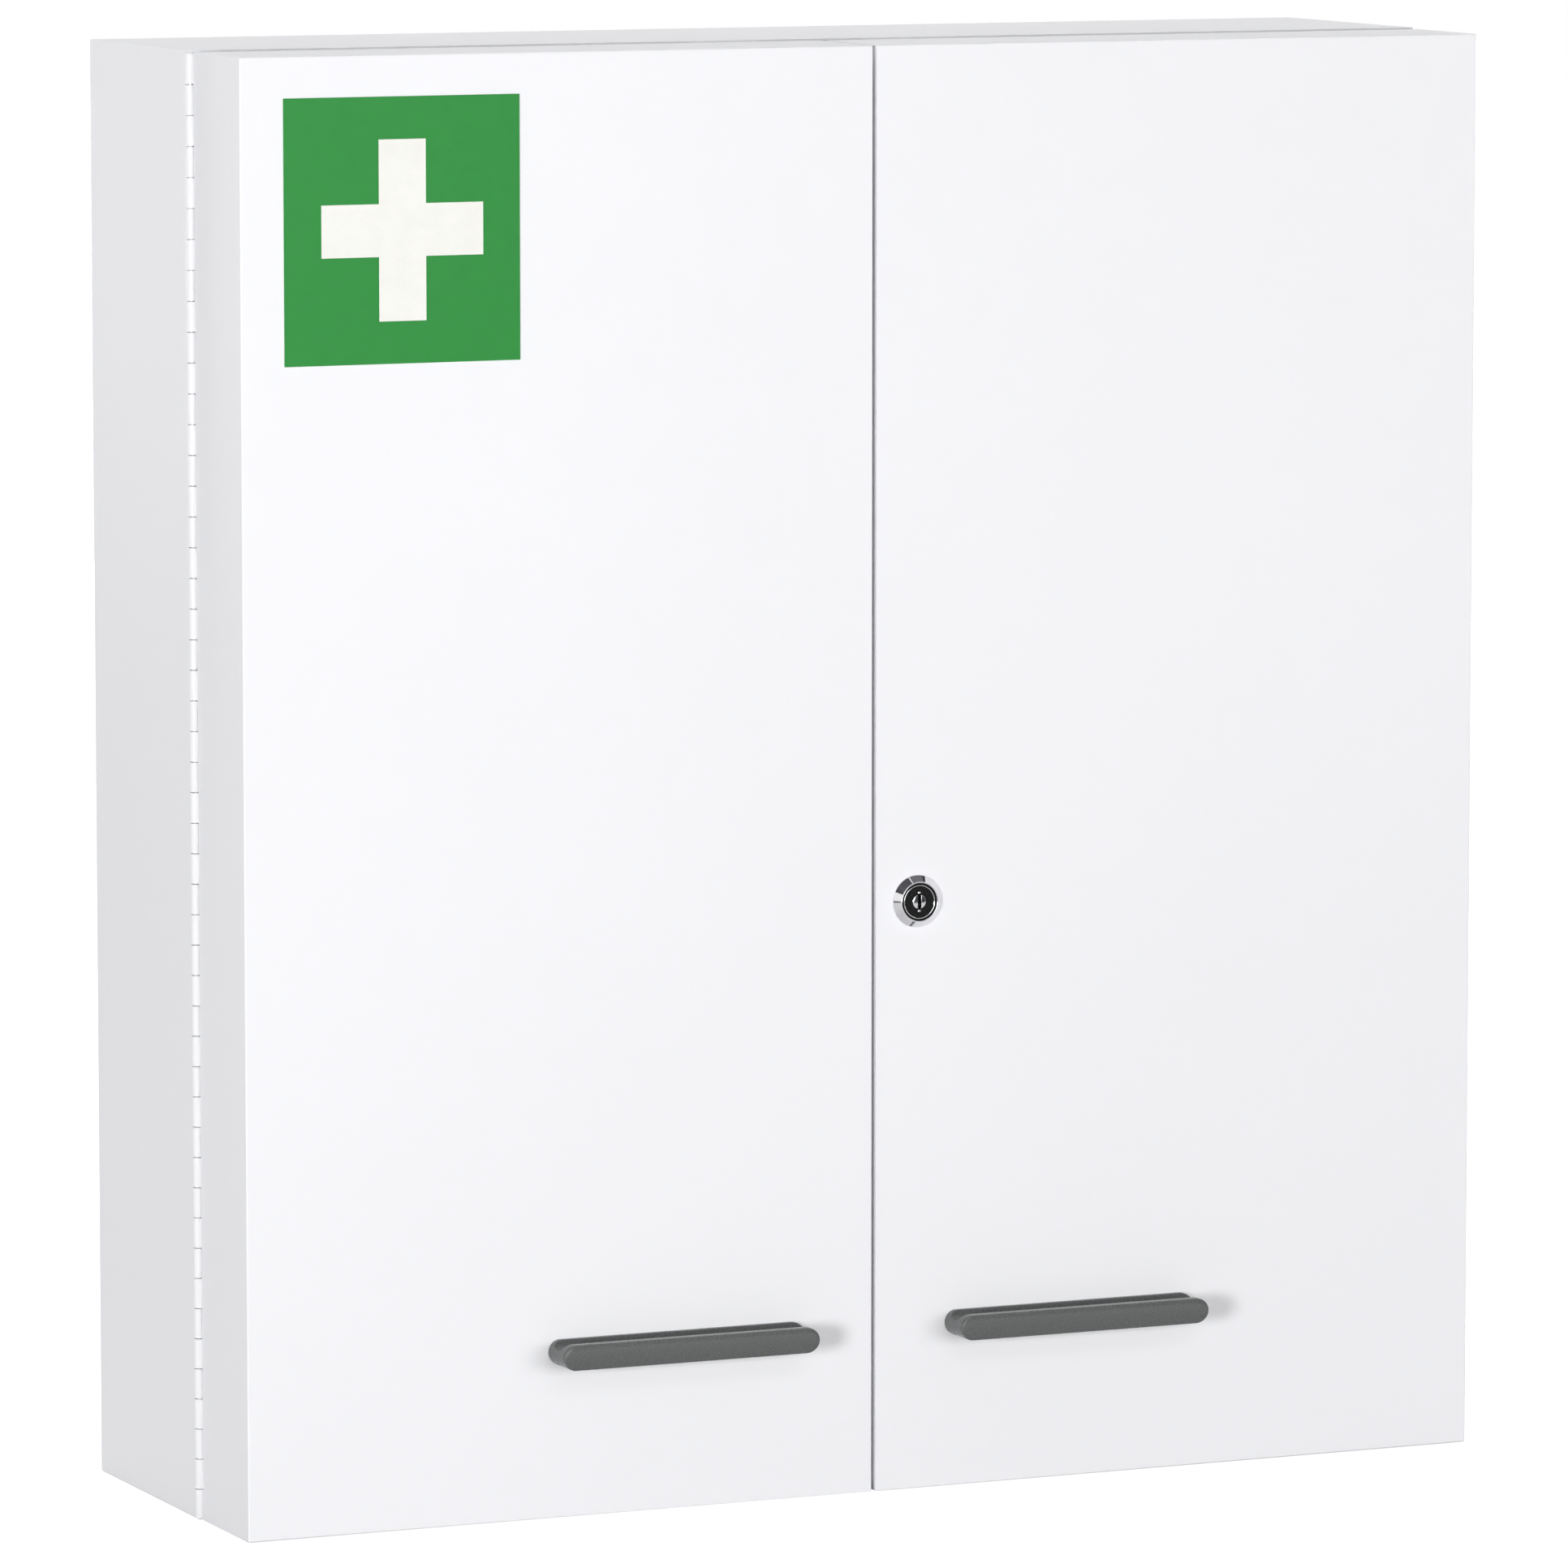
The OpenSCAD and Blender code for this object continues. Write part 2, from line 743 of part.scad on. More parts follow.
// White cross
module sign_cross() {
    color("ivory")
        translate([sign_mid_x, 0, sign_mid_z]) plate_y(door_front_y - sign_t, door_front_y) cross_outline();
}

// ---- Lock ----

// Stands what is drawn round the Z axis on the lock's axis, Z pointing out of the door's front
module on_lock_axis() {
    translate([lock_x, door_front_y, lock_z]) rotate([90, 0, 0]) children();
}

// Collar and barrel in one, bored in two steps for the plug
module lock_housing() {
    head_bore_d = plug_head_d + 2 * running_clearance;
    bore_d = plug_d + 2 * running_clearance;
    step = collar_h - plug_setback - plug_head_l - plug_end_play;
    color("lightgray") on_lock_axis() difference() {
        union() {
            cylinder(d1 = collar_d, d2 = collar_front_d, h = collar_h);
            translate([0, 0, -barrel_l]) cylinder(d = barrel_d, h = barrel_l + past);
        }
        translate([0, 0, -barrel_l - past]) cylinder(d = bore_d, h = barrel_l + collar_h + 2 * past);
        translate([0, 0, step]) cylinder(d = head_bore_d, h = collar_h - step + past);
        translate([0, 0, collar_h - recess_h]) cylinder(d = recess_d, h = recess_h + past);
    }
}

// Hexagonal nut on the barrel, against the door's inner face
module lock_nut() {
    color("silver") on_lock_axis() translate([0, 0, -sheet_t - nut_t]) difference() {
        rotate([0, 0, 30]) cylinder(d = nut_af / cos(30), h = nut_t, $fn = 6);
        translate([0, 0, -past]) cylinder(d = barrel_d + 2 * barrel_clearance, h = nut_t + 2 * past);
    }
}

// Keyway in the plug and its face
module keyway() {
    translate([-keyway_w / 2, -keyway_h / 2, collar_h - plug_setback - keyway_depth])
        cube([keyway_w, keyway_h, keyway_depth + past]);
}

// Plug: stepped head, body, square tail and a bore for the cam screw
module lock_plug() {
    front = collar_h - plug_setback;
    shoulder = front - plug_head_l;
    rear = -barrel_l - plug_end_play;
    face_floor = front - face_setback - face_t;
    color("silver") on_lock_axis() difference() {
        union() {
            translate([0, 0, shoulder]) cylinder(d = plug_head_d, h = plug_head_l);
            translate([0, 0, rear]) cylinder(d = plug_d, h = shoulder - rear + past);
            translate([-tail_w / 2, -tail_w / 2, rear - cam_t]) cube([tail_w, tail_w, cam_t + past]);
        }
        translate([0, 0, face_floor]) difference() {
            cylinder(d = face_d, h = face_t + face_setback + past);
            translate([0, 0, -past]) cylinder(d = core_d, h = face_t + face_setback + 3 * past);
        }
        keyway();
        translate([0, 0, rear - cam_t - past])
            cylinder(d = cam_screw_d + 2 * running_clearance, h = cam_screw_l + past);
    }
}

// Black ring round the plug's core
module lock_face() {
    floor_z = collar_h - plug_setback - face_setback - face_t;
    color("black") on_lock_axis() difference() {
        translate([0, 0, floor_z]) cylinder(d = face_d, h = face_t);
        translate([0, 0, floor_z - past]) cylinder(d = core_d, h = face_t + 2 * past);
        keyway();
    }
}

// Hooked cam, hanging down from the lock's axis; its notch is on the side of the left door
module lock_cam() {
    wall_near = lock_from_edge + meeting_gap;
    notch_near = wall_near - hook_clearance;
    notch_far = wall_near + sheet_t + hook_clearance;
    color("silver")
        translate([lock_x, 0, lock_z])
            plate_y(cam_front_y, cam_rear_y) difference() {
                union() {
                    circle(d = cam_head_d);
                    translate([-cam_w / 2, -cam_reach]) square([cam_w, cam_reach]);
                }
                translate([-cam_w / 2 - past, -notch_far]) square([hook_depth + past, notch_far - notch_near]);
                square(tail_w, center = true);
            }
}

// Screw that holds the cam on the plug's tail
module lock_cam_screw() {
    color("silver") {
        rod_y(cam_head_screw_d, lock_x, lock_z, cam_rear_y, cam_rear_y + cam_screw_head_t);
        rod_y(cam_screw_d, lock_x, lock_z, cam_rear_y - cam_screw_l, cam_rear_y);
    }
}

// ---- Nodes ----

body_shell();
back_panel();
on_left() slotted_strip(strip_front_y);  // strip_left_front
on_left() slotted_strip(strip_rear_y);  // strip_left_rear
slotted_strip(strip_front_y);  // strip_right_front
slotted_strip(strip_rear_y);  // strip_right_rear
body_shelf(shelf_z(1));  // shelf_lower
body_shelf(shelf_z(2));  // shelf_middle
body_shelf(shelf_z(3));  // shelf_upper
shelf_clips(1);  // clips_lower
shelf_clips(2);  // clips_middle
shelf_clips(3);  // clips_upper
on_left() hinge_leaf(1);  // hinge_left_body_leaf
on_left() hinge_leaf(-1);  // hinge_left_door_leaf
on_left() hinge_pin();  // hinge_left_pin
hinge_leaf(1);  // hinge_right_body_leaf
hinge_leaf(-1);  // hinge_right_door_leaf
hinge_pin();  // hinge_right_pin
catch_housing(-1);  // catch_left
catch_housing(1);  // catch_right
catch_magnets();
catch_screws();
rubber_buffers();
color("white") on_left() door_pan();  // door_pan_left
on_left() door_edge(left_slot_top_z);  // door_edge_left
on_left() door_frame();  // door_frame_left
on_left() door_shelf(lower_shelf_z);  // door_shelf_left_lower
on_left() door_shelf(upper_shelf_z);  // door_shelf_left_upper
on_left() door_rails();  // door_rails_left
strike_plate(-1);  // strike_left
on_left() handle();  // handle_left
on_left() handle_screws();  // handle_screws_left
sign_field();
sign_cross();
door_pan_right();
door_edge(right_slot_top_z);  // door_edge_right
door_frame();  // door_frame_right
door_shelf(lower_shelf_z);  // door_shelf_right_lower
door_shelf(upper_shelf_z);  // door_shelf_right_upper
door_rails();  // door_rails_right
strike_plate(1);  // strike_right
handle();  // handle_right
handle_screws();  // handle_screws_right
lock_housing();
lock_nut();
lock_plug();
lock_face();
lock_cam();
lock_cam_screw();
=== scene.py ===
"""Looks of the lockable medicine cabinet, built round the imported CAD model: folded and painted
sheet steel, piano hinges, moulded handles, a printed sign and a chromed cam lock."""

import json
import math

import bmesh
import bpy
from mathutils import Matrix, Vector

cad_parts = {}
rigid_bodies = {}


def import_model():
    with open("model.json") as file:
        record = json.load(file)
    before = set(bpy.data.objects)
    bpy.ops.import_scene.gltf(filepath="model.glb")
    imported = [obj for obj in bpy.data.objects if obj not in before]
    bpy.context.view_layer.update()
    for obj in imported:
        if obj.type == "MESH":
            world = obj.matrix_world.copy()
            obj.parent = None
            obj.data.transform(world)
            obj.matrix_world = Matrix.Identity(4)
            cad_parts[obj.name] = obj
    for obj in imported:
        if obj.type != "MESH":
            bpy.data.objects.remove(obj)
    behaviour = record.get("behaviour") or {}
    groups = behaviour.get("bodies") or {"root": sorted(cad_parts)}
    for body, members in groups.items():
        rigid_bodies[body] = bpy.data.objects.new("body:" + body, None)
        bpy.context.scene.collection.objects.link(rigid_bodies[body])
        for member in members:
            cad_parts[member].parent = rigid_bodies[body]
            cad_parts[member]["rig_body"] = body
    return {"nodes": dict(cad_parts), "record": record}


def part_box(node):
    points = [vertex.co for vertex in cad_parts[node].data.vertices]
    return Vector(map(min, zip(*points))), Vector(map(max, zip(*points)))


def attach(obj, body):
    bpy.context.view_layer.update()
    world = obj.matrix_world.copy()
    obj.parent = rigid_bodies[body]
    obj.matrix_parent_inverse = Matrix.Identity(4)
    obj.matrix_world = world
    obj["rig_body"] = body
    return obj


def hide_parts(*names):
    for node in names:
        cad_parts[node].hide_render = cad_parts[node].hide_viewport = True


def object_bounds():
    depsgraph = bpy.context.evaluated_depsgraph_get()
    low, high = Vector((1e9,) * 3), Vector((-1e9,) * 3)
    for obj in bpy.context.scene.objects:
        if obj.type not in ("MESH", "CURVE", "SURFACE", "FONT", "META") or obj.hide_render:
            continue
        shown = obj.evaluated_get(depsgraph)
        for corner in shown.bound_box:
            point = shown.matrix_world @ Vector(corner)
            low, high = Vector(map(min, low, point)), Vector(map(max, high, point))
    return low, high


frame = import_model()
cad_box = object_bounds()
scene = bpy.context.scene
SLOT_OF = {s["node"]: s["material_slot"] for s in frame["record"]["subparts"]}
BODY_OF = {n: o["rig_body"] for n, o in frame["nodes"].items()}
MM = 0.001


# ---- Materials ----

# a colour or a roughness runs from its low to its high end between these two values of a noise
RAMP_START, RAMP_END = 0.3, 0.7


class Nodes:
    """A material's node tree, with short calls for the nodes that the finishes are made of."""

    def __init__(self, name, colour, roughness, **sockets):
        self.material = bpy.data.materials.new(name)
        self.material.use_nodes = True
        self.material.diffuse_color = (*colour, 1)
        self.tree = self.material.node_tree
        self.shader = self.tree.nodes["Principled BSDF"]
        self.set(self.shader, **{"Base Color": (*colour, 1), "Roughness": roughness})
        self.set(self.shader, **{k.replace("_", " "): v for k, v in sockets.items()})
        self.place = self.add("ShaderNodeTexCoord").outputs["Object"]
        self.last_bump = None

    def add(self, kind):
        return self.tree.nodes.new(kind)

    def set(self, node, **sockets):
        for key, value in sockets.items():
            node.inputs[key].default_value = value

    def link(self, a, b):
        self.tree.links.new(a, b)

    def noise(self, scale, detail=2, rough=0.5, stretch=None):
        """Noise over the object's own place; scale is in waves per metre."""
        source = self.place
        if stretch:
            mapping = self.add("ShaderNodeMapping")
            self.set(mapping, Scale=stretch)
            self.link(source, mapping.inputs["Vector"])
            source = mapping.outputs["Vector"]
        node = self.add("ShaderNodeTexNoise")
        self.set(node, Scale=scale, Detail=detail, Roughness=rough)
        self.link(source, node.inputs["Vector"])
        return node.outputs["Fac"]

    def tint(self, factor, low, high):
        """Base colour that runs from low to high with the factor."""
        ramp = self.add("ShaderNodeValToRGB")
        first, last = ramp.color_ramp.elements
        first.position, first.color = RAMP_START, (*low, 1)
        last.position, last.color = RAMP_END, (*high, 1)
        self.link(factor, ramp.inputs["Fac"])
        self.link(ramp.outputs["Color"], self.shader.inputs["Base Color"])

    def roughen(self, factor, low, high):
        """Roughness that runs from low to high with the factor."""
        spread = self.add("ShaderNodeMapRange")
        self.set(spread, **{"From Min": RAMP_START, "From Max": RAMP_END})
        self.set(spread, **{"To Min": low, "To Max": high})
        self.link(factor, spread.inputs["Value"])
        self.link(spread.outputs["Result"], self.shader.inputs["Roughness"])

    def bump(self, height, depth, strength):
        """Adds a bump of that depth in metres on top of the ones before it."""
        node = self.add("ShaderNodeBump")
        self.set(node, Strength=strength, Distance=depth)
        self.link(height, node.inputs["Height"])
        if self.last_bump:
            self.link(self.last_bump, node.inputs["Normal"])
        self.last_bump = node.outputs["Normal"]
        self.link(self.last_bump, self.shader.inputs["Normal"])


def shade(colour, by):
    return tuple(c * by for c in colour)


def paint(name, colour, roughness=0.42):
    """Powder coat: faint orange peel, slow drift of tone and gloss."""
    m = Nodes(name, colour, roughness, Specular_IOR_Level=0.3)
    m.tint(m.noise(5, detail=3), shade(colour, 0.988), colour)
    m.roughen(m.noise(60, detail=3), roughness - 0.03, roughness + 0.05)
    m.bump(m.noise(650), depth=0.02 * MM, strength=0.35)
    m.bump(m.noise(3800, detail=1), depth=0.006 * MM, strength=0.2)
    return m.material


def zinc(name, colour):
    """Bright zinc plating with fine rolling lines and a faint bloom."""
    m = Nodes(name, colour, 0.36, Metallic=0.95)
    m.tint(m.noise(140, detail=4, rough=0.6), shade(colour, 0.86), shade(colour, 1.06))
    m.roughen(m.noise(320, detail=4), 0.27, 0.46)
    rolling = m.noise(900, detail=3, rough=0.6, stretch=(1, 1, 0.12))
    m.bump(rolling, depth=0.01 * MM, strength=0.35)
    return m.material


def chrome(name, colour):
    """Bright chrome with a trace of polishing waves."""
    m = Nodes(name, colour, 0.07, Metallic=1.0)
    m.tint(m.noise(260, detail=3), shade(colour, 0.95), colour)
    m.roughen(m.noise(420, detail=3), 0.045, 0.12)
    m.bump(m.noise(180, detail=1), depth=0.004 * MM, strength=0.3)
    return m.material


def moulding(name, colour, roughness, grain=2400, depth=0.02 * MM, specular=0.5):
    """Moulded plastic or rubber with a fine eroded grain of so many waves per metre."""
    m = Nodes(name, colour, roughness, Specular_IOR_Level=specular)
    m.tint(m.noise(900, detail=3, rough=0.6), shade(colour, 0.93), shade(colour, 1.07))
    m.roughen(m.noise(1500, detail=3), roughness - 0.06, roughness + 0.08)
    m.bump(m.noise(grain, detail=3, rough=0.65), depth, strength=0.6)
    return m.material


def film(name, colour, roughness=0.38):
    """Printed self-adhesive film: slight mottling of the ink under a satin surface."""
    m = Nodes(name, colour, roughness, Specular_IOR_Level=0.25)
    m.tint(m.noise(90, detail=5, rough=0.7), shade(colour, 0.965), shade(colour, 1.02))
    m.roughen(m.noise(700), roughness - 0.04, roughness + 0.06)
    m.bump(m.noise(1100, detail=3), depth=0.008 * MM, strength=0.35)
    return m.material


FINISH = {
    "white_paint": paint("white_paint", (0.9, 0.9, 0.92)),
    "hinge_paint": paint("hinge_paint", (0.9, 0.9, 0.915), roughness=0.34),
    "zinc_steel": zinc("zinc_steel", (0.62, 0.63, 0.65)),
    "pale_plastic": moulding("pale_plastic", (0.72, 0.72, 0.7), roughness=0.42),
    "ferrite": moulding("ferrite", (0.06, 0.06, 0.065), roughness=0.6, grain=1800),
    "buffer_rubber": moulding("buffer_rubber", (0.1, 0.1, 0.1), roughness=0.65, grain=1600),
    "handle_plastic": moulding(
        "handle_plastic", (0.105, 0.11, 0.107), roughness=0.26, grain=2600, depth=0.01 * MM
    ),
    "sign_green": film("sign_green", (0.013, 0.262, 0.034)),
    "sign_white": film("sign_white", (0.89, 0.885, 0.83)),
    "lock_chrome": chrome("lock_chrome", (0.82, 0.82, 0.84)),
    "black_plastic": moulding(
        "black_plastic", (0.006, 0.0065, 0.0065), roughness=0.25, grain=2200, depth=0.006 * MM,
        specular=0.2,
    ),
}


# ---- Shaping ----

MERGE_WITHIN = 0.002 * MM
FLAT_BELOW = 0.002  # radians; faces that meet at less are one flat face
SMOOTH_BELOW = math.radians(36)


def put(name, bm, slot, body, nodes):
    """Makes a piece from its shape, with its finish and its body.

    nodes are the CAD nodes that it stands for, which are hidden.
    """
    mesh = bpy.data.meshes.new(name)
    bm.to_mesh(mesh)
    bm.free()
    for polygon in mesh.polygons:
        polygon.use_smooth = True
    mesh.set_sharp_from_angle(angle=SMOOTH_BELOW)
    mesh.materials.append(FINISH[slot])
    piece = bpy.data.objects.new(name, mesh)
    scene.collection.objects.link(piece)
    normals = piece.modifiers.new("even_normals", "WEIGHTED_NORMAL")
    normals.keep_sharp = True
    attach(piece, body)
    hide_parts(*nodes)


def merged(mesh):
    """The mesh's shape without double points."""
    bm = bmesh.new()
    bm.from_mesh(mesh)
    bmesh.ops.remove_doubles(bm, verts=bm.verts, dist=MERGE_WITHIN)
    return bm


def with_whole_faces(mesh):
    """The mesh's shape without double points and with each flat face in one."""
    bm = merged(mesh)
    bmesh.ops.dissolve_limit(bm, angle_limit=FLAT_BELOW, verts=bm.verts, edges=bm.edges)
    return bm


def plain_mesh(bm):
    """The same shape as a mesh without any stored normals."""
    bm.verts.index_update()
    points = [v.co.copy() for v in bm.verts]
    faces = [[v.index for v in f.verts] for f in bm.faces]
    mesh = bpy.data.meshes.new("shape")
    mesh.from_pydata(points, [], faces)
    bm.free()
    return mesh


def cad_mesh(node):
    """A CAD node's shape as a mesh of whole faces."""
    return plain_mesh(with_whole_faces(frame["nodes"][node].data))


def combined(base, operation, others):
    """The base mesh with each of the others added or taken away, by exact booleans."""
    main = bpy.data.objects.new("main", base)
    tools = [bpy.data.objects.new("tool", other) for other in others]
    for o in (main, *tools):
        scene.collection.objects.link(o)
    for tool in tools:
        step = main.modifiers.new("step", "BOOLEAN")
        step.operation, step.object, step.solver = operation, tool, "EXACT"
    evaluated = main.evaluated_get(bpy.context.evaluated_depsgraph_get())
    result = bpy.data.meshes.new_from_object(evaluated)
    for o in (main, *tools):
        bpy.data.objects.remove(o)
    return result


def ease_edges(bm, width, segments=2, least=30, chosen=lambda edge: True):
    """Rounds those of the chosen edges that are sharper than least degrees."""
    least = math.radians(least)
    sharp = [
        e for e in bm.edges
        if len(e.link_faces) == 2 and e.calc_face_angle(0) > least and chosen(e)
    ]
    bmesh.ops.bevel(
        bm, geom=sharp, offset=width, offset_type="OFFSET", segments=segments,
        profile=0.5, affect="EDGES", clamp_overlap=False,
    )
    return bm


# ---- Folded sheet ----

SHEET_EDGE = 0.28 * MM
FOLD = 0.8 * MM
ON_PLANE = 0.02 * MM
LEFT, RIGHT, FRONT, REAR, BOTTOM, TOP = range(6)


def outer_planes(low, high):
    """A box's planes as (axis, value), in the order LEFT, RIGHT, FRONT, REAR, BOTTOM, TOP."""
    return [(axis, corner[axis]) for axis in range(3) for corner in (low, high)]


def joins(edge, planes):
    """Does the edge lie where two of these planes meet?"""
    on = sum(all(abs(v.co[axis] - at) < ON_PLANE for v in edge.verts) for axis, at in planes)
    return on >= 2


def folded(name, nodes, planes, body, tight):
    """A folded sheet part: its outer folds get the larger radius, all other edges the sheet's own.

    tight lists the pairs of outer planes that meet in an edge of the sheet and not in a fold.
    """
    mesh, *others = [cad_mesh(node) for node in nodes]
    if others:
        mesh = combined(mesh, "UNION", others)
    bm = with_whole_faces(mesh)

    def is_fold(edge):
        return joins(edge, planes) and not any(joins(edge, pair) for pair in tight)

    ease_edges(bm, SHEET_EDGE, chosen=lambda edge: not is_fold(edge))
    ease_edges(bm, FOLD, segments=3, least=60, chosen=is_fold)
    put(name, bm, "white_paint", body, nodes)


def shell():
    planes = outer_planes(*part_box("body_shell"))
    front, left, right = planes[FRONT], planes[LEFT], planes[RIGHT]
    folded(
        "body_shell_look", ["body_shell"], planes, "cabinet",
        tight=[(front, left), (front, right)],
    )


def door(side, meeting_side):
    """A door's pan, meeting edge and rear frame, which are one folded sheet."""
    nodes = [f"door_pan_{side}", f"door_edge_{side}", f"door_frame_{side}"]
    low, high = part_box(nodes[0])
    high.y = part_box(nodes[2])[1].y
    planes = outer_planes(low, high)
    folded(
        f"door_{side}_look", nodes, planes, f"{side}_door",
        tight=[(planes[meeting_side], planes[FRONT])],
    )


shell()
door("left", meeting_side=RIGHT)
door("right", meeting_side=LEFT)


# ---- Small parts ----

# how far each node's edges are eased, in mm
EASED = {
    "back_panel": 0.25,
    "strip_left_front": 0.2, "strip_left_rear": 0.2,
    "strip_right_front": 0.2, "strip_right_rear": 0.2,
    "shelf_lower": 0.3, "shelf_middle": 0.3, "shelf_upper": 0.3,
    "clips_lower": 0.3, "clips_middle": 0.3, "clips_upper": 0.3,
    "hinge_left_body_leaf": 0.15, "hinge_left_door_leaf": 0.15,
    "hinge_right_body_leaf": 0.15, "hinge_right_door_leaf": 0.15,
    "catch_left": 0.5, "catch_right": 0.5, "catch_magnets": 0.3,
    "door_shelf_left_lower": 0.3, "door_shelf_left_upper": 0.3,
    "door_shelf_right_lower": 0.3, "door_shelf_right_upper": 0.3,
    "strike_left": 0.25, "strike_right": 0.25,
    "sign_field": 0.08, "sign_cross": 0.08, "lock_cam": 0.3, "lock_nut": 0.4,
}
for node, width in EASED.items():
    eased = ease_edges(with_whole_faces(cad_mesh(node)), width * MM)
    put(node + "_look", eased, SLOT_OF[node], BODY_OF[node], [node])


# ---- Handles ----

BACK_EDGE = 0.25 * MM
END_STEPS = 14
# the front is crowned: its rim lies CROWN behind its middle
CROWN = 0.5 * MM
CROWN_RINGS = 14
CROWN_REACH = 0.97  # share of the half height that the rings cover
CROWN_SPACING = 1.7  # above 1, the rings crowd towards the rim
CROWN_POWER = 5  # the higher, the flatter the middle
# it also curves back above and below a line that lies at TOP_SHARE of the half height: by LEAN at
# half the bar's height from that line
LEAN, TOP_SHARE = 0.55 * MM, 0.35
# a fine line runs round the bar behind the crowned front
LINE_W, LINE_SLOPE, LINE_BEHIND = 0.4 * MM, 0.05 * MM, 0.15 * MM
GROOVE_R, GROOVE_DEPTH, GROOVE_BACK, GROOVE_SEGMENTS = 7 * MM, 3.4 * MM, 8.4 * MM, 96
NOTCH_R, NOTCH_BACK, NOTCH_SEGMENTS = 1.8 * MM, 6.5 * MM, 40
PAST_ENDS = 5 * MM
# the lips of groove and notch are rounded, between the line and the back edge
LIP_R, LIP_FROM_LINE, LIP_FROM_BACK = 0.45 * MM, 0.3 * MM, 0.4 * MM


def stadium_ring(length, height):
    """Points round a stadium in the x-z plane, centred on the origin."""
    r = height / 2
    points = []
    for s in (1, -1):
        for i in range(END_STEPS + 1):
            a = -math.pi / 2 + math.pi * i / END_STEPS
            points.append((s * (length / 2 - r) + s * r * math.cos(a), s * r * math.sin(a)))
    return points


def loft(rings):
    """Closed shape through rings of points with the same count, capped at both ends."""
    bm = bmesh.new()
    rows = [[bm.verts.new(p) for p in ring] for ring in rings]
    n = len(rows[0])
    for a, b in zip(rows, rows[1:]):
        for i in range(n):
            bm.faces.new((a[i], a[(i + 1) % n], b[(i + 1) % n], b[i]))
    bm.faces.new(rows[0][::-1])
    bm.faces.new(rows[-1])
    bmesh.ops.recalc_face_normals(bm, faces=bm.faces)
    return bm


def rod_along_x(radius, y, z, x_low, x_high, segments):
    """A round rod as a mesh."""
    bm = bmesh.new()
    middle = Matrix.Translation(((x_low + x_high) / 2, y, z))
    bmesh.ops.create_cone(
        bm, cap_ends=True, segments=segments, radius1=radius, radius2=radius,
        depth=x_high - x_low, matrix=middle @ Matrix.Rotation(math.pi / 2, 4, "Y"),
    )
    return plain_mesh(bm)


def handle(side):
    """Moulded bar: crowned front, fine line, groove along the top and notch underneath."""
    node = f"handle_{side}"
    low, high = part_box(node)
    cx, cz = (low.x + high.x) / 2, (low.z + high.z) / 2
    length, height = high.x - low.x, high.z - low.z
    half = height / 2

    # (y, inset) of each ring, from the door to the front
    rim = low.y + CROWN
    line = rim + LEAN * (1 + TOP_SHARE) ** 2 + LINE_BEHIND + LINE_W
    straight = [
        (high.y, BACK_EDGE), (high.y - BACK_EDGE, 0),
        (line, 0), (line - LINE_SLOPE, LINE_W),
        (line - LINE_W, LINE_W), (line - LINE_W - LINE_SLOPE, 0),
    ]
    crowned = []
    for i in range(CROWN_RINGS):
        inset = half * CROWN_REACH * (i / (CROWN_RINGS - 1)) ** CROWN_SPACING
        ahead = CROWN * math.sqrt(1 - (1 - inset / half) ** CROWN_POWER)
        crowned.append((rim - ahead, inset))

    rings = []
    for sections, lean in ((straight, 0), (crowned, LEAN)):
        for y, inset in sections:
            rings.append([
                (cx + x, y + lean * (z / half - TOP_SHARE) ** 2, cz + z)
                for x, z in stadium_ring(length - 2 * inset, height - 2 * inset)
            ])

    ends = low.x - PAST_ENDS, high.x + PAST_ENDS
    groove_z = high.z - GROOVE_DEPTH + GROOVE_R
    groove = rod_along_x(GROOVE_R, high.y - GROOVE_BACK, groove_z, *ends, GROOVE_SEGMENTS)
    notch = rod_along_x(NOTCH_R, high.y - NOTCH_BACK, low.z, *ends, NOTCH_SEGMENTS)
    bar = merged(combined(plain_mesh(loft(rings)), "DIFFERENCE", [groove, notch]))

    def on_lip(edge):
        return all(line + LIP_FROM_LINE < v.co.y < high.y - LIP_FROM_BACK for v in edge.verts)

    ease_edges(bar, LIP_R, segments=3, least=35, chosen=on_lip)
    put(node + "_look", bar, "handle_plastic", BODY_OF[node], [node])


handle("left")
handle("right")


# ---- Lock ----

LOCK = Vector((21 * MM, 0, -58 * MM))
DOOR_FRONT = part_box("door_pan_right")[0].y
ROUND = 96  # segments of a full turn

# these sizes are in mm; depths count from the door's front, and negative ones lie ahead of it
BARREL_R, COLLAR_R, BORE_R = 9.4, 11.75, 7.9
COLLAR_FRONT, BARREL_REAR = -3.5, 20.0
RECESS_R, RECESS_FLOOR = 8.5, -2.3
PLUG_R, PLUG_REAR, PLUG_STEP_R, PLUG_STEP = 7.7, 22.3, 6.7, 4.0
RING_R, CORE_R, RING_FLOOR = 7.2, 3.2, -2.0
KEYWAY_HALF_W, KEYWAY_HALF_H, KEYWAY_FROM, KEYWAY_TO = 0.9, 4.7, -4, 11.8
TAIL_HALF, TAIL_FROM, TAIL_TO = 3.5, 22.2, 24.3
GUIDE_HEIGHT, GUIDE_DEPTH, GUIDE_HALF_SIZES = 4.1, -2.55, (0.9, 0.5, 0.62)
PLUG_EDGE, FACE_EDGE = 0.12, 0.1

